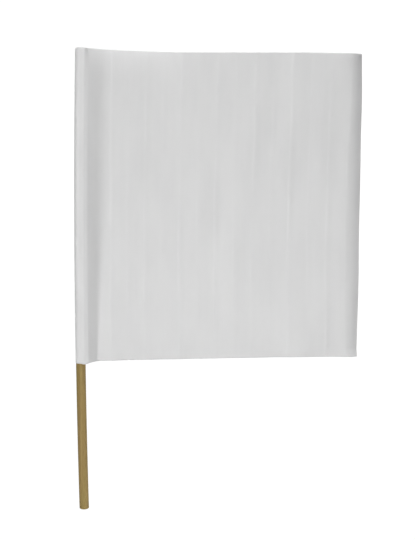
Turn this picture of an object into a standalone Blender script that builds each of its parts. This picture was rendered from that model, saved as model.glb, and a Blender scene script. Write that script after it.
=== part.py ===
"""A square sheet flag on a round wooden staff.

Metres, +Z up the staff. The origin is the centre of the staff's foot. The flag stands out along
+X, and its sleeve wraps the side of the staff that faces -Y. The flag is one sheet, made here as
two solids: the sleeve, which is stapled to the staff, and the panel, which swings about a
vertical line just beside it.
"""

import math

import bmesh
import bpy

# Staff
STAFF_LENGTH = 0.9144
STAFF_DIAMETER = 0.01905
STAFF_BOW = 0.005  # how far the wood bows to -X at half its length
STAFF_EASE = 0.0016  # radius of the rounded edge at each end
STAFF_SIDES = 48
STAFF_RINGS = 14  # stretches along the staff, which follow its bow
EASE_STEPS = 3
WOOD_COLOUR = (0.33, 0.22, 0.10)

# Sheet
SHEET_HEIGHT = 0.614
SHEET_WIDTH = 0.617  # flat, from the stapled edge to the free edge, at the lower edge
SHEET_FREE = (0.5776, 0.5748)  # the part of the width that has left the staff
FREE_BOW = 0.0026  # the free edge stands this much further out at half its height
SHEET_THICKNESS = 0.0003
CLEARANCE = 0.0003  # between pieces that touch
VINYL_COLOUR = (0.80, 0.80, 0.80)
SHEET_ROWS = 12
SLEEVE_COLUMNS = 60
PANEL_COLUMNS = (24, 22, 14)  # across the fold, the field and the curl

# Course of the sheet in plan. A pair is the value at the lower edge and at the upper edge.
# A heading is 0 along +X and positive towards +Y. Distances count along the sheet from where it
# leaves the front of the staff: a narrow strip between two creases, then a flank that runs back
# beside the staff, a bend, and the wide field, which curls back at its free edge.
FRONT_HEADING = math.radians(4)  # where the sheet leaves the staff
STRIP_HEADING = math.radians(28)
FLANK_HEADING = (math.radians(57), math.radians(40))
CREASES = (0.0085, 0.0164)
CREASE_LENGTH = 0.0035
FLANK_END = (0.0385, 0.0360)
BEND_LENGTH = (0.009, 0.037)
BEND_SHARE = 0.6  # of the sheet's height, above which the bend keeps its full length
FIELD_HEADING = (math.radians(11.5), math.radians(15))
FIELD_START = 0.05
FIELD_LENGTH = 0.26  # run in which the field's heading becomes the far heading
FAR_HEADING = math.radians(3.6)
CURL_LENGTH = (0.044, 0.045)
CURL_ANGLE = (math.radians(28), math.radians(52))
CURL_POWER = 3  # of the height, which the curl's angle grows with
FOLD_END = 0.075
COURSE_STEP = 0.001

# Swing line of the panel
SWING_DISTANCE = 0.0245  # along the sheet, from where it leaves the staff
SWING_GAP = 0.005  # of sheet left out round the swing line, for the fold to turn in

# Staples
STAPLE_COUNT = 5
STAPLE_MARGIN = 0.014  # from the sheet's upper and lower edges to the end staples
STAPLE_CROWN = 0.0106
STAPLE_LEG = 0.0080
STAPLE_POINT = 0.0008
WIRE_WIDTH = 0.00127
WIRE_THICKNESS = 0.0006
STEEL_COLOUR = (0.62, 0.62, 0.60)

SHARP_ANGLE = math.radians(35)  # edges bent more than this are shaded sharp
MERGE_DISTANCE = 0.00001

STAFF_RADIUS = STAFF_DIAMETER / 2
SHEET_BASE = STAFF_LENGTH - SHEET_HEIGHT
WRAP_RADIUS = STAFF_RADIUS + CLEARANCE + SHEET_THICKNESS / 2
LEAVING_ANGLE = FRONT_HEADING - math.pi / 2  # round the staff, where the sheet leaves it

OBJECT_NAME = "golf_flagstick"


def ease(t):
    """0 below 0, 1 above 1 and a smooth step between."""
    t = min(max(t, 0.0), 1.0)
    return t * t * (3 - 2 * t)


def mix(low, high, t):
    return low + (high - low) * t


def bow(z):
    """Where the staff's centre line lies along X at height z."""
    return -STAFF_BOW * 4 * z * (STAFF_LENGTH - z) / STAFF_LENGTH**2


def clear_scene():
    for obj in list(bpy.data.objects):
        bpy.data.objects.remove(obj, do_unlink=True)


def new_collection(name):
    collection = bpy.data.collections.new(name)
    bpy.context.scene.collection.children.link(collection)
    return collection


def new_material(name, colour, roughness, metallic=0.0):
    material = bpy.data.materials.new(name)
    material.use_nodes = True
    shader = material.node_tree.nodes["Principled BSDF"]
    shader.inputs["Base Color"].default_value = (*colour, 1.0)
    shader.inputs["Roughness"].default_value = roughness
    shader.inputs["Metallic"].default_value = metallic
    return material


def add_object(name, data, collection, material=None):
    obj = bpy.data.objects.new(name, data)
    collection.objects.link(obj)
    if material:
        data.materials.append(material)
    return obj


def shade_round(mesh):
    mesh.shade_smooth()
    mesh.set_sharp_from_angle(angle=SHARP_ANGLE)


def cut(obj, cutter):
    modifier = obj.modifiers.new("cut_" + cutter.name, "BOOLEAN")
    modifier.operation = "DIFFERENCE"
    modifier.solver = "EXACT"
    modifier.object = cutter


# ---------------------------------------------------------------- staff


def staff_profile():
    """Half outline of the staff before it is bowed, as (radius, height) points from the top down."""
    points = [(0.0, STAFF_LENGTH)]
    inner = STAFF_RADIUS - STAFF_EASE
    for i in range(EASE_STEPS + 1):
        a = math.pi / 2 * i / EASE_STEPS
        points.append((inner + STAFF_EASE * math.sin(a), STAFF_LENGTH - STAFF_EASE * (1 - math.cos(a))))
    for i in range(1, STAFF_RINGS):
        points.append((STAFF_RADIUS, mix(STAFF_LENGTH - STAFF_EASE, STAFF_EASE, i / STAFF_RINGS)))
    for i in range(EASE_STEPS + 1):
        a = math.pi / 2 * i / EASE_STEPS
        points.append((inner + STAFF_EASE * math.cos(a), STAFF_EASE * (1 - math.sin(a))))
    points.append((0.0, 0.0))
    return points


def turned_mesh(name, profile, sides):
    """The mesh of a profile turned round Z by a Screw modifier."""
    outline = bpy.data.meshes.new(name)
    vertices = [(radius, 0.0, z) for radius, z in profile]
    edges = [(i, i + 1) for i in range(len(profile) - 1)]
    outline.from_pydata(vertices, edges, [])
    turned = bpy.data.objects.new(name, outline)
    bpy.context.scene.collection.objects.link(turned)
    screw = turned.modifiers.new("turn", "SCREW")
    screw.steps = sides
    screw.render_steps = sides
    screw.use_merge_vertices = True
    screw.merge_threshold = MERGE_DISTANCE
    bpy.context.view_layer.update()
    evaluated = turned.evaluated_get(bpy.context.evaluated_depsgraph_get())
    mesh = bpy.data.meshes.new_from_object(evaluated)
    bpy.data.objects.remove(turned, do_unlink=True)
    return mesh


def make_staff(collection):
    mesh = turned_mesh("staff", staff_profile(), STAFF_SIDES)
    for vertex in mesh.vertices:
        vertex.co.x += bow(vertex.co.z)
    shade_round(mesh)
    wood = new_material("hardwood", WOOD_COLOUR, roughness=0.55)
    return add_object("staff", mesh, collection, wood)


# ---------------------------------------------------------------- sheet


def free_end(up):
    """How far the sheet reaches from where it leaves the staff."""
    return mix(*SHEET_FREE, up) + FREE_BOW * 4 * up * (1 - up)


def heading(s, up):
    """Heading of the sheet in plan, s along it from where it leaves the staff.

    up is 0 at its lower edge and 1 at its upper edge.
    """
    first, second = [ease((s - crease) / CREASE_LENGTH + 0.5) for crease in CREASES]
    beside = mix(mix(FRONT_HEADING, STRIP_HEADING, first), mix(*FLANK_HEADING, up), second)
    field = mix(mix(*FIELD_HEADING, up), FAR_HEADING, ease((s - FIELD_START) / FIELD_LENGTH))
    bend_length = mix(*BEND_LENGTH, ease(up / BEND_SHARE))
    turned = ease((s - mix(*FLANK_END, up)) / bend_length)
    curled = ease((s - free_end(up)) / mix(*CURL_LENGTH, up) + 1)
    return mix(beside, field, turned) + mix(*CURL_ANGLE, up**CURL_POWER) * curled


def course(stations, up):
    """Points (x, y) of the sheet at stations, which are rising distances along it.

    They count from where it leaves the staff, so those on the staff are negative.
    """
    points = []
    x = WRAP_RADIUS * math.cos(LEAVING_ANGLE)
    y = WRAP_RADIUS * math.sin(LEAVING_ANGLE)
    reached = 0.0
    for s in stations:
        if s <= 0:
            angle = LEAVING_ANGLE + s / WRAP_RADIUS
            points.append((WRAP_RADIUS * math.cos(angle), WRAP_RADIUS * math.sin(angle)))
            continue
        steps = max(1, math.ceil((s - reached) / COURSE_STEP))
        step = (s - reached) / steps
        for i in range(steps):
            middle = heading(reached + step * (i + 0.5), up)
            x += step * math.cos(middle)
            y += step * math.sin(middle)
        reached = s
        points.append((x, y))
    return points


def sheet_surface(name, stations_at, origin):
    """An open grid of a stretch of the sheet, its mesh placed about origin.

    stations_at gives the stations of its columns at a height between 0 and 1.
    """
    rows = []
    for row in range(SHEET_ROWS + 1):
        up = row / SHEET_ROWS
        rows.append(course(stations_at(up), up))
    columns = len(rows[0]) - 1
    half = 0.5
    bm = bmesh.new()
    bmesh.ops.create_grid(bm, x_segments=columns, y_segments=SHEET_ROWS, size=half)
    for vertex in bm.verts:
        column = round((vertex.co.x + half) * columns)
        row = round((vertex.co.y + half) * SHEET_ROWS)
        x, y = rows[row][column]
        z = SHEET_BASE + SHEET_HEIGHT * row / SHEET_ROWS
        vertex.co = (x + bow(z) - origin[0], y - origin[1], z - origin[2])
    mesh = bpy.data.meshes.new(name)
    bm.to_mesh(mesh)
    bm.free()
    shade_round(mesh)
    return mesh


def thicken(obj):
    solidify = obj.modifiers.new("sheet_thickness", "SOLIDIFY")
    solidify.thickness = SHEET_THICKNESS
    solidify.offset = 0.0
    solidify.use_even_offset = True


def sleeve_stations(up):
    """Evenly from the stapled edge to just short of the swing line, alike at every height."""
    start = SHEET_FREE[0] - SHEET_WIDTH
    end = SWING_DISTANCE - SWING_GAP / 2
    return [mix(start, end, i / SLEEVE_COLUMNS) for i in range(SLEEVE_COLUMNS + 1)]


def panel_stations(up):
    """From just past the swing line to the free edge, closer together in the fold and the curl."""
    free = free_end(up)
    stops = (SWING_DISTANCE + SWING_GAP / 2, FOLD_END, free - mix(*CURL_LENGTH, up), free)
    stations = [stops[0]]
    for low, high, columns in zip(stops, stops[1:], PANEL_COLUMNS):
        stations += [mix(low, high, i / columns) for i in range(1, columns + 1)]
    return stations


def make_sleeve(collection, vinyl):
    """The sheet from its stapled edge, round the staff, to just short of the swing line."""
    mesh = sheet_surface("flag_sleeve", sleeve_stations, (0.0, 0.0, 0.0))
    obj = add_object("flag_sleeve", mesh, collection, vinyl)
    thicken(obj)
    return obj


def swing_point():
    """Where the upright swing line meets the plane of the foot, midway in the bow of the sheet."""
    middle = 0.5
    x, y = course([SWING_DISTANCE], middle)[0]
    return x + (bow(SHEET_BASE) + bow(STAFF_LENGTH)) / 2, y, 0.0


def make_panel(collection, vinyl):
    """The rest of the sheet, which swings."""
    axis = swing_point()
    mesh = sheet_surface("flag_panel", panel_stations, axis)
    obj = add_object("flag_panel", mesh, collection, vinyl)
    obj.location = axis
    thicken(obj)
    return obj


# ---------------------------------------------------------------- staples


def staple_heights():
    low = SHEET_BASE + STAPLE_MARGIN
    high = STAFF_LENGTH - STAPLE_MARGIN
    return [mix(low, high, i / (STAPLE_COUNT - 1)) for i in range(STAPLE_COUNT)]


def staple_outline():
    """Outline of a staple, as (along its crown, along its legs) points. The crown's face is at 0."""
    half = STAPLE_CROWN / 2
    inner = half - WIRE_THICKNESS
    tip = half - WIRE_THICKNESS / 2
    right = [
        (half, 0.0),
        (half, -STAPLE_LEG + STAPLE_POINT),
        (tip, -STAPLE_LEG),
        (inner, -STAPLE_LEG + STAPLE_POINT),
        (inner, -WIRE_THICKNESS),
    ]
    left = [(-u, v) for u, v in reversed(right)]
    return right + left


def staple_curve(name):
    curve = bpy.data.curves.new(name, "CURVE")
    curve.dimensions = "2D"
    curve.fill_mode = "BOTH"
    curve.extrude = WIRE_WIDTH / 2
    points = staple_outline()
    spline = curve.splines.new("POLY")
    spline.points.add(len(points) - 1)
    for point, (u, v) in zip(spline.points, points):
        point.co = (u, v, 0.0, 1.0)
    spline.use_cyclic_u = True
    return curve


def crown_y():
    """Outer face of a staple's crown, behind the staff."""
    return WRAP_RADIUS + SHEET_THICKNESS / 2 + CLEARANCE + WIRE_THICKNESS


def make_staples(collection):
    """One staple at each height, crown upright on the sheet and legs running forwards into the wood."""
    steel = new_material("staple_steel", STEEL_COLOUR, roughness=0.35, metallic=1.0)
    staples = []
    for number, z in enumerate(staple_heights(), start=1):
        name = f"staple_{number}"
        staple = add_object(name, staple_curve(name), collection, steel)
        staple.rotation_euler = (0.0, -math.pi / 2, 0.0)
        staple.location = (bow(z), crown_y(), z)
        staples.append(staple)
    return staples


def make_leg_holes(collection):
    """One cutter of boxes, each a little larger than the staple leg it clears."""
    bm = bmesh.new()
    size_x = WIRE_WIDTH + 2 * CLEARANCE
    size_z = WIRE_THICKNESS + 2 * CLEARANCE
    far = crown_y() + CLEARANCE
    near = crown_y() - STAPLE_LEG - CLEARANCE
    for z in staple_heights():
        for side in (-1, 1):
            made = bmesh.ops.create_cube(bm, size=1.0)
            centre_z = z + side * (STAPLE_CROWN - WIRE_THICKNESS) / 2
            for vertex in made["verts"]:
                vertex.co.x = bow(z) + vertex.co.x * size_x
                vertex.co.y = (far + near) / 2 + vertex.co.y * (far - near)
                vertex.co.z = centre_z + vertex.co.z * size_z
    mesh = bpy.data.meshes.new("staple_leg_holes")
    bm.to_mesh(mesh)
    bm.free()
    cutter = add_object("staple_leg_holes", mesh, collection)
    cutter.hide_render = True
    cutter.display_type = "WIRE"
    return cutter


def build():
    clear_scene()
    parts = new_collection(OBJECT_NAME)
    cutters = new_collection(OBJECT_NAME + "_cutters")
    vinyl = new_material("white_vinyl", VINYL_COLOUR, roughness=0.45)
    staff = make_staff(parts)
    sleeve = make_sleeve(parts, vinyl)
    panel = make_panel(parts, vinyl)
    staples = make_staples(parts)
    leg_holes = make_leg_holes(cutters)
    cut(staff, leg_holes)
    cut(sleeve, leg_holes)
    for obj in [sleeve, panel, *staples]:
        obj.parent = staff


build()
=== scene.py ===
"""Looks of a square sheet flag on a round wooden staff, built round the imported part.

Metres, in the part's own frame: +Z up the staff, the flag out along +X, seen from the -Y side. The
flag is one sheet of smooth white vinyl. It has been kept rolled up on its own staff, so each turn
of the roll has left a faint upright line across it.
"""

import math

import bpy
import numpy as np
from mathutils import Matrix, Vector


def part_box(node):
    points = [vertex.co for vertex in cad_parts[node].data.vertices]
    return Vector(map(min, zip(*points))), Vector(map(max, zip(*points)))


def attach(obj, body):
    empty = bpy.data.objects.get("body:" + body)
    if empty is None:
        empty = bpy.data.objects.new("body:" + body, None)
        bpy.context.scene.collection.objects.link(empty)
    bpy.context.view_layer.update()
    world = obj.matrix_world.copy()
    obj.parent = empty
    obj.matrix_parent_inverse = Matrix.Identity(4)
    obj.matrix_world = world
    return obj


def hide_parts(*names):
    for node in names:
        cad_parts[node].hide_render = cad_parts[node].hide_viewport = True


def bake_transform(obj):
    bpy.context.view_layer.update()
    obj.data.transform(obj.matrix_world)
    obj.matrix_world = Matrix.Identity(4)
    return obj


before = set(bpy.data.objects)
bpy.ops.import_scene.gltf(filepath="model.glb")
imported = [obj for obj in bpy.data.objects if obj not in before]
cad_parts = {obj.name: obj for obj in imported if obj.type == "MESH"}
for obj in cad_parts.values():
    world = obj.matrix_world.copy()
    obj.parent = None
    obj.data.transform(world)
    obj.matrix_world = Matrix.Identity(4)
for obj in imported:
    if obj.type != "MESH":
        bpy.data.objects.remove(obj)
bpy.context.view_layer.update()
STAFF_LOW, STAFF_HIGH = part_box("staff")
SLEEVE_LOW, SLEEVE_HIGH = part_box("flag_sleeve")
STAPLE_NODES = sorted(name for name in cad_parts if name.startswith("staple_"))

# Staff
STAFF_LENGTH = STAFF_HIGH.z - STAFF_LOW.z
STAFF_RADIUS = (STAFF_HIGH.y - STAFF_LOW.y) / 2
STAFF_BOW = 0.005  # how far the wood bows to -X at half its length
STAFF_EASE = 0.0016  # radius of the rounded edge at each end
STAFF_SIDES = 96
STAFF_RINGS = 60
EASE_STEPS = 6  # across each rounded edge
MERGE_DISTANCE = 0.00001

# Sheet
SHEET_BASE = SLEEVE_LOW.z
SHEET_HEIGHT = SLEEVE_HIGH.z - SLEEVE_LOW.z
SHEET_WIDTH = 0.617  # flat, from the stapled edge to the free edge, at the lower edge
SHEET_FREE = (0.5776, 0.5748)  # the part of the width that has left the staff
FREE_BOW = 0.0026  # the free edge stands this much further out at half its height
STAPLED_EDGE = SHEET_FREE[0] - SHEET_WIDTH  # along the sheet, before it leaves the staff
SHEET_THICKNESS = 0.0003
CLEARANCE = 0.0003  # between the sheet and the staff
WRAP_RADIUS = STAFF_RADIUS + CLEARANCE + SHEET_THICKNESS / 2

# Course of the sheet in plan, as in the CAD part. A pair is the value at the lower edge and at the
# upper edge. A heading is 0 along +X and positive towards +Y. Distances count along the sheet from
# where it leaves the front of the staff: a narrow strip between two creases, then a flank that
# runs back beside the staff, a bend, and the wide field, which curls back at its free edge.
FRONT_HEADING = math.radians(4)  # where the sheet leaves the staff
LEAVING_ANGLE = FRONT_HEADING - math.pi / 2  # round the staff, where the sheet leaves it
STRIP_HEADING = math.radians(28)
FLANK_HEADING = (math.radians(57), math.radians(40))
CREASES = (0.0085, 0.0164)
CREASE_LENGTH = 0.0035
FLANK_END = (0.0385, 0.0360)
BEND_LENGTH = (0.009, 0.037)
BEND_SHARE = 0.6  # of the sheet's height, above which the bend keeps its full length
FIELD_HEADING = (math.radians(11.5), math.radians(15))
FIELD_START = 0.05
FIELD_LENGTH = 0.26  # run in which the field's heading becomes the far heading
FAR_HEADING = math.radians(3.6)
CURL_LENGTH = (0.044, 0.045)
CURL_ANGLE = (math.radians(28), math.radians(52))
CURL_POWER = 3  # of the height, which the curl's angle grows with
COURSE_STEP = 0.0005

# Lower free corner, which is plain in the CAD part
CORNER_HEIGHT = 0.018
CORNER_CURL = 0.5  # the curl's length at the very corner, as a share of its own
CORNER_CUT = 0.0010  # the sheet is this much narrower at the very corner

# Grid of the sheet
WRAP_COLUMNS = 50
FOLD_COLUMNS = 70
FIELD_COLUMNS = 240
CURL_COLUMNS = 50
FOLD_END = 0.060
CURL_START = 0.045  # from the free edge
SHEET_ROWS = 116
ROW_CROWDING = 0.6  # how much closer the rows lie near the upper and lower edges
CUT_RUN = 0.2  # run from the staff in which the columns shift to end on the free edge

# Relief of the sheet, as heights off its smooth course
PRINT_FIRST = (0.073, 0.070)  # the roll's first line, from where the sheet leaves the staff
PRINT_PITCH = 0.068  # once round the roll, from the first line to the second
PRINT_HEIGHT = 0.00052
PRINT_WIDTH = (0.0022, 0.0060)  # its rise on the side of the staff, and its longer fall
PRINT_COUNT = 7
PRINT_WANDER = 0.0010  # how far a line strays to either side on its way up
PRINT_WANDER_SIZE = (1.0, 0.30)
PRINT_VARIATION = 0.35  # how much a line's height comes and goes on its way up
PRINT_VARIATION_SIZE = (1.0, 0.18)
GHOST_SHARE = 0.45  # of a line's height, for a fainter one half a turn after it
WAVE_HEIGHT = 0.0008  # of slow waves in the field
WAVE_SIZE = (0.20, 0.45)  # a size is about how far a wave is across and along the staff
DIMPLE_HEIGHT = 0.00008
DIMPLE_SIZE = (0.06, 0.14)
FREE_START = 0.05  # run from the staff in which the waves and dimples grow to their height
CREASE_RIDGE = 0.0002  # the first crease stands proud of the strip
CREASE_RIDGE_BACK = 0.0012  # from the crease's middle, on the side of the staff
CREASE_RIDGE_WIDTH = 0.0016
CUT_EDGE_LIFT = 0.0004  # the stapled edge stands off the staff, here more and there less
CUT_EDGE_LENGTH = 0.009
CUT_EDGE_SIZE = (1.0, 0.12)
RIPPLE_WAVES = 24  # added up to make a random ripple

# Upper and lower edges of the sheet
DROOP = 0.0016  # the lower edge hangs this much lower at the first crease
DROOP_LENGTH = 0.012  # to either side of the crease
DROOP_HEIGHT = 0.06
SAG = 0.0012  # the field hangs this much lower, and further on as much higher
SAG_START = 0.05
SAG_LENGTH = 0.28
RIM_HEIGHT = 0.03  # of the strip under the upper edge in which these fade out
RIM_RISE = 0.0012  # the upper edge stands this much higher in front of the staff
RIM_FRONT = (-0.010, 0.0, 0.003, 0.009)  # where that starts, is full, lessens and ends
RIM_FALL = 0.0015  # and this much lower round the staff's far side
RIM_SIDE = (-0.012, -0.004)
LEAN = 0.006  # the upper edge leans back this far beside the sleeve
LEAN_DEPTH = 0.050
LEAN_START = 0.012  # run after the first crease in which the lean grows
LEAN_FADE = (0.12, 0.26)
LEAN_RISE = 0.0003  # the leaning edge is this much higher

# Staples of flat wire
WIRE_THICKNESS = 0.0006
WIRE_EDGE = 0.00015  # radius of the wire's rounded edges
WIRE_FILLET = 0.0008  # radius of the bends between the legs and the crown
WIRE_TIP = 0.35  # thickness of a leg's tip, as a share of the wire's
FILLET_STEPS = 6
EDGE_STEPS = 3
WIRE_SHARP = math.radians(50)  # edges bent more than this are shaded sharp


def ease(t):
    """0 below 0, 1 above 1 and a smooth step between."""
    t = np.clip(t, 0.0, 1.0)
    return t * t * (3 - 2 * t)


def mix(low, high, t):
    return low + (high - low) * t


def bow(z):
    """Where the staff's centre line lies along X at height z."""
    return -STAFF_BOW * 4 * z * (STAFF_LENGTH - z) / STAFF_LENGTH**2


def add_object(name, data):
    obj = bpy.data.objects.new(name, data)
    bpy.context.scene.collection.objects.link(obj)
    return obj


def grid_mesh(name, points, closed=False):
    """A mesh of quads through rows of points; closed joins the last column to the first."""
    rows, columns = points.shape[:2]
    index = np.arange(rows * columns).reshape(rows, columns)
    right = np.roll(index, -1, axis=1)
    last = columns if closed else columns - 1
    corners = (index[:-1, :last], right[:-1, :last], right[1:, :last], index[1:, :last])
    faces = np.stack(corners, axis=-1).reshape(-1, 4)
    mesh = bpy.data.meshes.new(name)
    mesh.from_pydata(points.reshape(-1, 3).tolist(), [], faces.tolist())
    mesh.shade_smooth()
    return mesh


# ---------------------------------------------------------------- sheet


def free_end(up):
    """How far the sheet reaches from where it leaves the staff."""
    corner = 1 - ease(up * SHEET_HEIGHT / CORNER_HEIGHT)
    return mix(*SHEET_FREE, up) + FREE_BOW * 4 * up * (1 - up) - CORNER_CUT * corner


def heading(s, up):
    """Heading of the sheet in plan, s along it from the staff, and up from 0 to 1."""
    first, second = [ease((s - crease) / CREASE_LENGTH + 0.5) for crease in CREASES]
    beside = mix(mix(FRONT_HEADING, STRIP_HEADING, first), mix(*FLANK_HEADING, up), second)
    field = mix(mix(*FIELD_HEADING, up), FAR_HEADING, ease((s - FIELD_START) / FIELD_LENGTH))
    bend_length = mix(*BEND_LENGTH, ease(up / BEND_SHARE))
    turned = ease((s - mix(*FLANK_END, up)) / bend_length)
    whole_curl = ease(up * SHEET_HEIGHT / CORNER_HEIGHT)
    curl_length = mix(*CURL_LENGTH, up) * mix(CORNER_CURL, 1.0, whole_curl)
    curled = ease((s - free_end(up)) / curl_length + 1)
    return mix(beside, field, turned) + mix(*CURL_ANGLE, up**CURL_POWER) * curled


def course(stations, up):
    """Points (x, y) and headings of the sheet at each station, for one height."""
    fine = np.arange(0.0, SHEET_FREE[0] + FREE_BOW + COURSE_STEP, COURSE_STEP)
    middle = heading(fine[:-1] + COURSE_STEP / 2, up)
    start = WRAP_RADIUS * np.array([math.cos(LEAVING_ANGLE), math.sin(LEAVING_ANGLE)])
    x = start[0] + np.concatenate([[0.0], np.cumsum(np.cos(middle)) * COURSE_STEP])
    y = start[1] + np.concatenate([[0.0], np.cumsum(np.sin(middle)) * COURSE_STEP])
    angle = LEAVING_ANGLE + np.minimum(stations, 0.0) / WRAP_RADIUS
    on_staff = stations <= 0
    px = np.where(on_staff, WRAP_RADIUS * np.cos(angle), np.interp(stations, fine, x))
    py = np.where(on_staff, WRAP_RADIUS * np.sin(angle), np.interp(stations, fine, y))
    turn = np.where(on_staff, angle + math.pi / 2, heading(np.maximum(stations, 0.0), up))
    return px, py, turn


def ripple(s, z, size, seed):
    """Smooth random waves of unit height, and of about this size."""
    across, along = size
    rng = np.random.default_rng(seed)
    total = np.zeros(np.broadcast(s, z).shape)
    for _ in range(RIPPLE_WAVES):
        wave_s, wave_z = rng.normal() / across, rng.normal() / along
        total += np.cos(2 * math.pi * (wave_s * s + wave_z * z) + rng.uniform(0, 2 * math.pi))
    return total * math.sqrt(2 / RIPPLE_WAVES)


def print_lines():
    """How far each upright line lies beyond the first one, with its share of the full height.

    The roll grows by a turn's thickness each time round, so each line is a little further on.
    """
    lines = []
    place, pitch = 0.0, PRINT_PITCH
    for _ in range(PRINT_COUNT):
        lines.append((place, 1.0))
        lines.append((place + pitch / 2, GHOST_SHARE))
        place += pitch
        pitch += 2 * math.pi * SHEET_THICKNESS
    return lines


def relief(s, z):
    """Height of the sheet off its smooth course, towards the side that faces -Y."""
    free = ease(s / FREE_START)
    from_top = SHEET_BASE + SHEET_HEIGHT - z
    total = free * WAVE_HEIGHT * ripple(s, z, WAVE_SIZE, seed=3)
    total += free * DIMPLE_HEIGHT * ripple(s, z, DIMPLE_SIZE, seed=5)
    for number, (place, share) in enumerate(print_lines()):
        wander = PRINT_WANDER * ripple(0.0, z, PRINT_WANDER_SIZE, seed=20 + number)
        varied = ripple(0.0, z, PRINT_VARIATION_SIZE, seed=50 + number)
        strength = 1.0 + PRINT_VARIATION * varied
        beyond = s - mix(*PRINT_FIRST, (z - SHEET_BASE) / SHEET_HEIGHT) - place - wander
        line = np.exp(-((beyond / np.where(beyond < 0, *PRINT_WIDTH)) ** 2))
        total += share * PRINT_HEIGHT * strength * line
    beyond_ridge = s - CREASES[0] + CREASE_RIDGE_BACK
    total += CREASE_RIDGE * np.exp(-((beyond_ridge / CREASE_RIDGE_WIDTH) ** 2))
    total -= LEAN * lean_share(s) * np.clip(1 - from_top / LEAN_DEPTH, 0, 1) ** 2
    cut_edge = ease((STAPLED_EDGE + CUT_EDGE_LENGTH - s) / CUT_EDGE_LENGTH)
    total += cut_edge * CUT_EDGE_LIFT * (0.6 + 0.4 * ripple(0.0, z, CUT_EDGE_SIZE, seed=9))
    return total


def lean_share(s):
    """How much of its lean the upper edge has at each station."""
    start, end = LEAN_FADE
    return ease((s - CREASES[0]) / LEAN_START) * (1 - ease((s - start) / (end - start)))


def drop(s, up):
    """How far the sheet's points lie below their level."""
    beyond = (s - CREASES[0]) / DROOP_LENGTH
    near = np.where(beyond < 0, ease(beyond + 1), 1 - ease(beyond))
    total = DROOP * near * (1 - ease(up * SHEET_HEIGHT / DROOP_HEIGHT))
    total += SAG * np.sin(math.pi * np.clip(s - SAG_START, 0.0, None) / SAG_LENGTH)
    rim = ease(1 - (1 - up) * SHEET_HEIGHT / RIM_HEIGHT)
    start, full, lessens, end = RIM_FRONT
    front = ease((s - start) / (full - start)) * (1 - ease((s - lessens) / (end - lessens)))
    side = 1 - ease((s - RIM_SIDE[0]) / (RIM_SIDE[1] - RIM_SIDE[0]))
    return total + rim * (RIM_FALL * side - RIM_RISE * front - LEAN_RISE * lean_share(s))


def make_sheet():
    """The whole flag as one sheet, from its stapled edge round the staff to its free edge."""
    stops = (STAPLED_EDGE, 0.0, FOLD_END, SHEET_FREE[0] - CURL_START)
    counts = (WRAP_COLUMNS, FOLD_COLUMNS, FIELD_COLUMNS)
    parts = [
        np.linspace(start, end, count, endpoint=False)
        for start, end, count in zip(stops, stops[1:], counts)
    ]
    parts.append(np.linspace(stops[-1], SHEET_FREE[0], CURL_COLUMNS + 1))
    stations = np.concatenate(parts)
    t = np.arange(SHEET_ROWS + 1) / SHEET_ROWS
    ups = t - ROW_CROWDING * np.sin(2 * math.pi * t) / (2 * math.pi)
    points = np.zeros((len(ups), len(stations), 3))
    for row, up in enumerate(ups):
        z = np.full(len(stations), SHEET_BASE + SHEET_HEIGHT * up)
        cut = free_end(up) / SHEET_FREE[0]
        along = np.where(stations > 0, mix(1.0, cut, ease(stations / CUT_RUN)), 1.0) * stations
        x, y, turn = course(along, up)
        out = relief(along, z)
        points[row, :, 0] = x + bow(z) + out * np.sin(turn)
        points[row, :, 1] = y - out * np.cos(turn)
        points[row, :, 2] = z - drop(along, up)
    mesh = grid_mesh("flag_sheet", points)
    uv = mesh.uv_layers.new(name="sheet_metres")
    flat_u = np.tile(stations - STAPLED_EDGE, len(ups))
    flat_v = np.repeat(ups * SHEET_HEIGHT, len(stations))
    loops = np.zeros(len(mesh.loops), np.int32)
    mesh.loops.foreach_get("vertex_index", loops)
    uv.data.foreach_set("uv", np.stack([flat_u[loops], flat_v[loops]], axis=-1).ravel())
    sheet = add_object("flag_sheet", mesh)
    solidify = sheet.modifiers.new("sheet_thickness", "SOLIDIFY")
    solidify.thickness = SHEET_THICKNESS
    solidify.offset = 0.0
    solidify.use_even_offset = True
    return sheet


# ---------------------------------------------------------------- staff


def make_dowel():
    """The staff, turned finer than the CAD solid, with its edges eased and the same bow."""
    inner = STAFF_RADIUS - STAFF_EASE
    profile = [(0.0, 0.0), (inner * 0.5, 0.0)]
    for i in range(EASE_STEPS + 1):
        a = math.pi / 2 * i / EASE_STEPS
        profile.append((inner + STAFF_EASE * math.sin(a), STAFF_EASE * (1 - math.cos(a))))
    for i in range(1, STAFF_RINGS):
        profile.append((STAFF_RADIUS, mix(STAFF_EASE, STAFF_LENGTH - STAFF_EASE, i / STAFF_RINGS)))
    for i in range(EASE_STEPS + 1):
        a = math.pi / 2 * i / EASE_STEPS
        profile.append(
            (inner + STAFF_EASE * math.cos(a), STAFF_LENGTH - STAFF_EASE * (1 - math.sin(a)))
        )
    profile += [(inner * 0.5, STAFF_LENGTH), (0.0, STAFF_LENGTH)]
    profile = np.array(profile)
    angle = 2 * math.pi * np.arange(STAFF_SIDES) / STAFF_SIDES
    radius, z = profile[:, :1], profile[:, 1:]
    points = np.stack(
        [radius * np.cos(angle) + bow(z), radius * np.sin(angle), z + 0.0 * angle], axis=-1
    )
    mesh = grid_mesh("wooden_dowel", points, closed=True)
    dowel = add_object("wooden_dowel", mesh)
    weld = dowel.modifiers.new("close_ends", "WELD")
    weld.merge_threshold = MERGE_DISTANCE
    return dowel


# ---------------------------------------------------------------- staples


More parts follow.
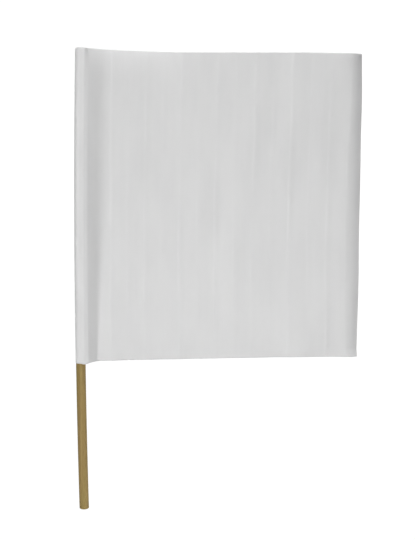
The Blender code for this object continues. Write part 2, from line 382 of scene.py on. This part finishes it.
def staple_path(low, high):
    """Middle line of a staple's wire as (y, z) points, from the lower leg's tip to the upper's."""
    fillet = WIRE_FILLET
    crown, tip = high.y - WIRE_THICKNESS / 2, low.y
    bottom, top = low.z + WIRE_THICKNESS / 2, high.z - WIRE_THICKNESS / 2
    turn = [math.pi / 2 * i / FILLET_STEPS for i in range(FILLET_STEPS + 1)]
    points = [(y, bottom) for y in np.linspace(tip, crown - fillet, 8, endpoint=False)]
    points += [
        (crown - fillet + fillet * math.sin(a), bottom + fillet - fillet * math.cos(a))
        for a in turn
    ]
    points += [(crown, z) for z in np.linspace(bottom + fillet, top - fillet, 9)[1:-1]]
    points += [
        (crown - fillet + fillet * math.cos(a), top - fillet + fillet * math.sin(a)) for a in turn
    ]
    points += [(y, top) for y in np.linspace(crown - fillet, tip, 8)[1:]]
    return np.array(points)


def wire_section(width):
    """The flat wire's section as (across, through) points, with rounded edges."""
    middle_x, middle_n = width / 2 - WIRE_EDGE, WIRE_THICKNESS / 2 - WIRE_EDGE
    section = []
    for side_x, side_n, first in ((1, 1, 0), (-1, 1, 90), (-1, -1, 180), (1, -1, 270)):
        for i in range(EDGE_STEPS + 1):
            a = math.radians(first + 90 * i / EDGE_STEPS)
            section.append(
                (
                    side_x * middle_x + WIRE_EDGE * math.cos(a),
                    side_n * middle_n + WIRE_EDGE * math.sin(a),
                )
            )
    return np.array(section)


def make_staple(node):
    """A staple of flat wire with rounded edges and corners, in the place of its CAD solid."""
    low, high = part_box(node)
    path = staple_path(low, high)
    tangent = np.gradient(path, axis=0)
    tangent /= np.linalg.norm(tangent, axis=1, keepdims=True)
    normal = np.stack([tangent[:, 1], -tangent[:, 0]], axis=-1)
    section = wire_section(high.x - low.x)
    through = np.repeat(section[None, :, 1], len(path), axis=0)
    through[[0, -1]] *= WIRE_TIP
    points = np.zeros((len(path), len(section), 3))
    points[:, :, 0] = (low.x + high.x) / 2 + section[:, 0]
    points[:, :, 1] = path[:, :1] + normal[:, :1] * through
    points[:, :, 2] = path[:, 1:] + normal[:, 1:] * through
    mesh = grid_mesh(node + "_wire", points, closed=True)
    ring = len(section)
    last = (len(path) - 1) * ring
    vertices = [tuple(v.co) for v in mesh.vertices]
    faces = [tuple(p.vertices) for p in mesh.polygons]
    faces.append(tuple(range(ring))[::-1])
    faces.append(tuple(last + i for i in range(ring)))
    mesh.clear_geometry()
    mesh.from_pydata(vertices, [], faces)
    mesh.shade_smooth()
    mesh.set_sharp_from_angle(angle=WIRE_SHARP)
    return add_object(node + "_wire", mesh)


# ---------------------------------------------------------------- materials


class Nodes:
    """A short way to build a material's nodes."""

    def __init__(self, name):
        self.material = bpy.data.materials.new(name)
        self.material.use_nodes = True
        self.tree = self.material.node_tree
        self.shader = self.tree.nodes["Principled BSDF"]

    def add(self, kind, values=(), **settings):
        """A new node; each of its inputs gets a number, a colour or another node's output."""
        node = self.tree.nodes.new(kind)
        for name, value in settings.items():
            setattr(node, name, value)
        for name, value in dict(values).items():
            self.set(node.inputs[name], value)
        return node

    def set(self, socket, value):
        if isinstance(value, bpy.types.NodeSocket):
            self.tree.links.new(value, socket)
        else:
            socket.default_value = value

    def scaled(self, source, scale):
        """Coordinates stretched along each axis."""
        node = self.add("ShaderNodeMapping", {"Vector": source, "Scale": scale})
        return node.outputs["Vector"]

    def noise(self, source, scale, detail=2.0, roughness=0.5):
        node = self.add(
            "ShaderNodeTexNoise",
            {"Vector": source, "Scale": scale, "Detail": detail, "Roughness": roughness},
        )
        return node.outputs["Fac"]

    def level(self, value, low, high, to_low=0.0, to_high=1.0):
        """The value with low..high spread over to_low..to_high, and held there beyond."""
        values = {"Value": value, "From Min": low, "From Max": high}
        values.update({"To Min": to_low, "To Max": to_high})
        return self.add("ShaderNodeMapRange", values).outputs["Result"]

    def blend(self, first, second, share):
        """A mix of two colours."""
        node = self.add("ShaderNodeMix", data_type="RGBA")
        for number, value in ((0, share), (6, first), (7, second)):  # its factor and its colours
            self.set(node.inputs[number], value)
        return node.outputs[2]

    def maths(self, operation, first, second):
        node = self.add("ShaderNodeMath", operation=operation)
        self.set(node.inputs[0], first)
        self.set(node.inputs[1], second)
        return node.outputs["Value"]

    def bump(self, height, strength, distance, under=None):
        values = {"Height": height, "Strength": strength, "Distance": distance}
        if under is not None:
            values["Normal"] = under
        return self.add("ShaderNodeBump", values).outputs["Normal"]


def vinyl_material():
    """Smooth white vinyl with a faint calendered grain, slightly scuffed along its height."""
    n = Nodes("white_vinyl_sheet")
    flat = n.add("ShaderNodeUVMap", uv_map="sheet_metres").outputs["UV"]
    streaks = n.noise(n.scaled(flat, (110.0, 7.0, 1.0)), 1.0, detail=2.0)
    cloud = n.noise(n.scaled(flat, (22.0, 8.0, 1.0)), 1.0, detail=3.0)
    grain = n.noise(flat, 1600.0, detail=2.0)
    clean, dull = (0.824, 0.824, 0.824, 1.0), (0.797, 0.797, 0.799, 1.0)
    worn = n.level(streaks, 0.35, 0.70, to_low=0.55)
    shade = n.maths("MULTIPLY", worn, n.level(cloud, 0.38, 0.62))
    n.set(n.shader.inputs["Base Color"], n.blend(clean, dull, shade))
    n.set(n.shader.inputs["Roughness"], n.level(cloud, 0.3, 0.7, to_low=0.42, to_high=0.50))
    fine = n.bump(grain, strength=0.10, distance=0.0002)
    scuffed = n.bump(streaks, strength=0.03, distance=0.0004, under=fine)
    n.set(n.shader.inputs["Normal"], scuffed)
    n.shader.inputs["IOR"].default_value = 1.52
    return n.material


def wood_material():
    """Oiled hardwood: long fibres, soft growth bands, open pores, and end grain at the ends, with
    painted light on its +X side and painted shade on its -X side.
    """
    n = Nodes("dowel_hardwood")
    place = n.add("ShaderNodeTexCoord").outputs["Object"]
    fibres = n.noise(n.scaled(place, (900.0, 900.0, 14.0)), 1.0, detail=4.0, roughness=0.6)
    bands = n.noise(n.scaled(place, (170.0, 170.0, 2.2)), 1.0, detail=2.0)
    drift = n.noise(n.scaled(place, (60.0, 60.0, 7.0)), 1.0, detail=1.0)
    pores = n.noise(n.scaled(place, (2600.0, 2600.0, 90.0)), 1.0, detail=1.0)
    tan, brown = (0.400, 0.282, 0.104, 1.0), (0.282, 0.184, 0.056, 1.0)
    olive, dark = (0.342, 0.265, 0.081, 1.0), (0.144, 0.086, 0.027, 1.0)
    # The pale tone is painted light for the staff's +X side, and the deep one is painted shade for
    # its -X side.
    pale, shaded_side_brown = (0.470, 0.338, 0.130, 1.0), (0.215, 0.150, 0.052, 1.0)
    base = n.blend(tan, brown, n.level(bands, 0.38, 0.64))
    base = n.blend(base, olive, n.level(drift, 0.45, 0.65, to_high=0.6))
    # Painted light on the +X side and painted shade on the -X side, each with a wandering border.
    across = n.add("ShaderNodeSeparateXYZ", {"Vector": place}).outputs["X"]
    lit_side_border = n.maths("ADD", across, n.level(bands, 0.3, 0.7, to_low=-0.003, to_high=0.003))
    base = n.blend(base, pale, n.level(lit_side_border, -0.004, 0.009))
    shaded_side_border = n.maths("ADD", across, n.level(drift, 0.3, 0.7, to_low=-0.002, to_high=0.002))
    painted_shade_share = n.level(shaded_side_border, -0.0125, -0.0055, to_low=0.6, to_high=0.0)
    base = n.blend(base, shaded_side_brown, painted_shade_share)
    base = n.blend(base, brown, n.level(fibres, 0.48, 0.75, to_high=0.55))
    pore_mask = n.level(pores, 0.66, 0.74, to_high=0.6)
    base = n.blend(base, dark, pore_mask)
    n.set(n.shader.inputs["Base Color"], base)
    n.set(n.shader.inputs["Roughness"], n.level(fibres, 0.3, 0.7, to_low=0.50, to_high=0.66))
    n.shader.inputs["Specular IOR Level"].default_value = 0.30
    long_grain = n.bump(fibres, strength=0.35, distance=0.0002)
    filled = n.maths("SUBTRACT", 1.0, pore_mask)
    pitted = n.bump(filled, strength=0.3, distance=0.0002, under=long_grain)
    n.set(n.shader.inputs["Normal"], pitted)
    return n.material


def steel_material():
    """Galvanised wire, drawn along its length, with a dull patchy coat."""
    n = Nodes("staple_wire_steel")
    place = n.add("ShaderNodeTexCoord").outputs["Object"]
    drawn = n.noise(n.scaled(place, (6000.0, 900.0, 900.0)), 1.0, detail=2.0)
    patches = n.noise(place, 700.0, detail=3.0)
    bright, dull = (0.66, 0.66, 0.65, 1.0), (0.45, 0.45, 0.46, 1.0)
    n.set(n.shader.inputs["Base Color"], n.blend(bright, dull, n.level(patches, 0.4, 0.65)))
    n.set(n.shader.inputs["Roughness"], n.level(patches, 0.3, 0.7, to_low=0.24, to_high=0.42))
    n.shader.inputs["Metallic"].default_value = 1.0
    n.set(n.shader.inputs["Normal"], n.bump(drawn, strength=0.25, distance=0.00005))
    return n.material


# ---------------------------------------------------------------- studio

# Each light: where it stands, its width and height, and its power.
LIGHTS = {
    "key_left": ((-1.4, -2.4, 0.2), (1.0, 1.0), 31.6),
    "low_front": ((0.5, -1.2, 0.08), (0.8, 0.8), 4.2),
    "low_right": ((1.2, -1.3, 0.08), (0.8, 0.8), 1.4),
    "top": ((0.2, -0.5, 2.8), (1.6, 1.6), 43.3),
    "top_left": ((-1.0, -0.9, 2.4), (1.2, 1.2), 4.0),
    "right_side": ((2.2, -0.1, 1.6), (1.2, 1.2), 5.0),
    "back": ((0.6, 2.6, 0.9), (1.6, 1.6), 42.0),
}
LIGHT_AIM = (0.25, 0.05, 0.6)  # the flag's middle, which all of them face
AMBIENT = 0.3  # all round, seen only in reflections
FLOOR_SIZE = 6.0
BACKDROP_RADIUS = 9.0
WHITE_GLOW = 1.05  # of the floor and the backdrop that the camera sees
BOUNCE_GLOW = 0.04  # of the floor that lights the flag
CAMERA_PLACE = (0.2463, -1.9514, 0.7302)
CAMERA_LENS = 66.67  # on a sensor 36 mm wide
CAMERA_TIP = math.radians(7.08)  # downwards
CAMERA_ROLL = math.radians(0.40)


def make_lights():
    aim = Vector(LIGHT_AIM)
    for name, (place, size, power) in LIGHTS.items():
        light = bpy.data.lights.new(name, "AREA")
        light.shape = "RECTANGLE"
        light.size, light.size_y = size
        light.energy = power
        lamp = add_object(name, light)
        lamp.location = place
        lamp.rotation_euler = (aim - lamp.location).to_track_quat("-Z", "Y").to_euler()
        lamp.visible_camera = False
        lamp.visible_glossy = name != "back"


def make_world():
    world = bpy.data.worlds.new("studio")
    world.use_nodes = True
    background = world.node_tree.nodes["Background"]
    background.inputs["Color"].default_value = (1.0, 1.0, 1.0, 1.0)
    background.inputs["Strength"].default_value = AMBIENT
    world.cycles_visibility.diffuse = False
    bpy.context.scene.world = world


def glowing_material(name, colour, strength):
    material = bpy.data.materials.new(name)
    material.use_nodes = True
    shader = material.node_tree.nodes["Principled BSDF"]
    shader.inputs["Base Color"].default_value = (*colour, 1.0)
    shader.inputs["Roughness"].default_value = 0.8
    shader.inputs["Emission Color"].default_value = (1.0, 1.0, 1.0, 1.0)
    shader.inputs["Emission Strength"].default_value = strength
    return material


def make_stage():
    """A pale floor that lights the flag, and a white floor and backdrop only for the camera."""
    reach = FLOOR_SIZE / 2
    corners = np.array([[(x, y, 0.0) for x in (-reach, reach)] for y in (-reach, reach)])
    bounce = add_object("floor_bounce", grid_mesh("floor_bounce", corners))
    bounce.data.materials.append(glowing_material("floor_pale", (0.85, 0.85, 0.85), BOUNCE_GLOW))
    bounce.visible_camera = False
    floor = add_object("floor", grid_mesh("floor", corners))
    floor.data.materials.append(glowing_material("floor_white", (0.0, 0.0, 0.0), WHITE_GLOW))
    angle = 2 * math.pi * np.arange(48) / 48
    tilt = np.linspace(-math.pi / 2, math.pi / 2, 25)[:, None]
    x, y = np.cos(tilt) * np.cos(angle), np.cos(tilt) * np.sin(angle)
    shell = BACKDROP_RADIUS * np.stack([x, y, np.sin(tilt) + 0 * angle], axis=-1)
    backdrop = add_object("backdrop", grid_mesh("backdrop", shell, closed=True))
    backdrop.data.materials.append(glowing_material("backdrop_white", (0.0, 0.0, 0.0), WHITE_GLOW))
    for seen in (floor, backdrop):
        seen.visible_diffuse = False
        seen.visible_glossy = False
        seen.visible_transmission = False
        seen.visible_shadow = False


def make_camera():
    """A long lens in front of the flag's middle, a little below its upper edge, tipped down."""
    camera = bpy.data.cameras.new("camera")
    camera.sensor_width = 36.0
    camera.lens = CAMERA_LENS
    holder = add_object("camera", camera)
    holder.location = CAMERA_PLACE
    tip = Matrix.Rotation(math.pi / 2 - CAMERA_TIP, 3, "X")
    roll = Matrix.Rotation(CAMERA_ROLL, 3, "Z")
    holder.rotation_euler = (tip @ roll).to_euler()
    bpy.context.scene.camera = holder


def build():
    sheet = make_sheet()
    sheet.data.materials.append(vinyl_material())
    dowel = make_dowel()
    dowel.data.materials.append(wood_material())
    steel = steel_material()
    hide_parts("flag_sleeve", "flag_panel")
    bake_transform(sheet)
    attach(dowel, "staff")
    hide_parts("staff")
    for node in STAPLE_NODES:
        staple = make_staple(node)
        staple.data.materials.append(steel)
        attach(staple, "staff")
        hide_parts(node)
    make_world()
    make_lights()
    make_stage()
    make_camera()
    bpy.context.scene.view_settings.view_transform = "Standard"


build()
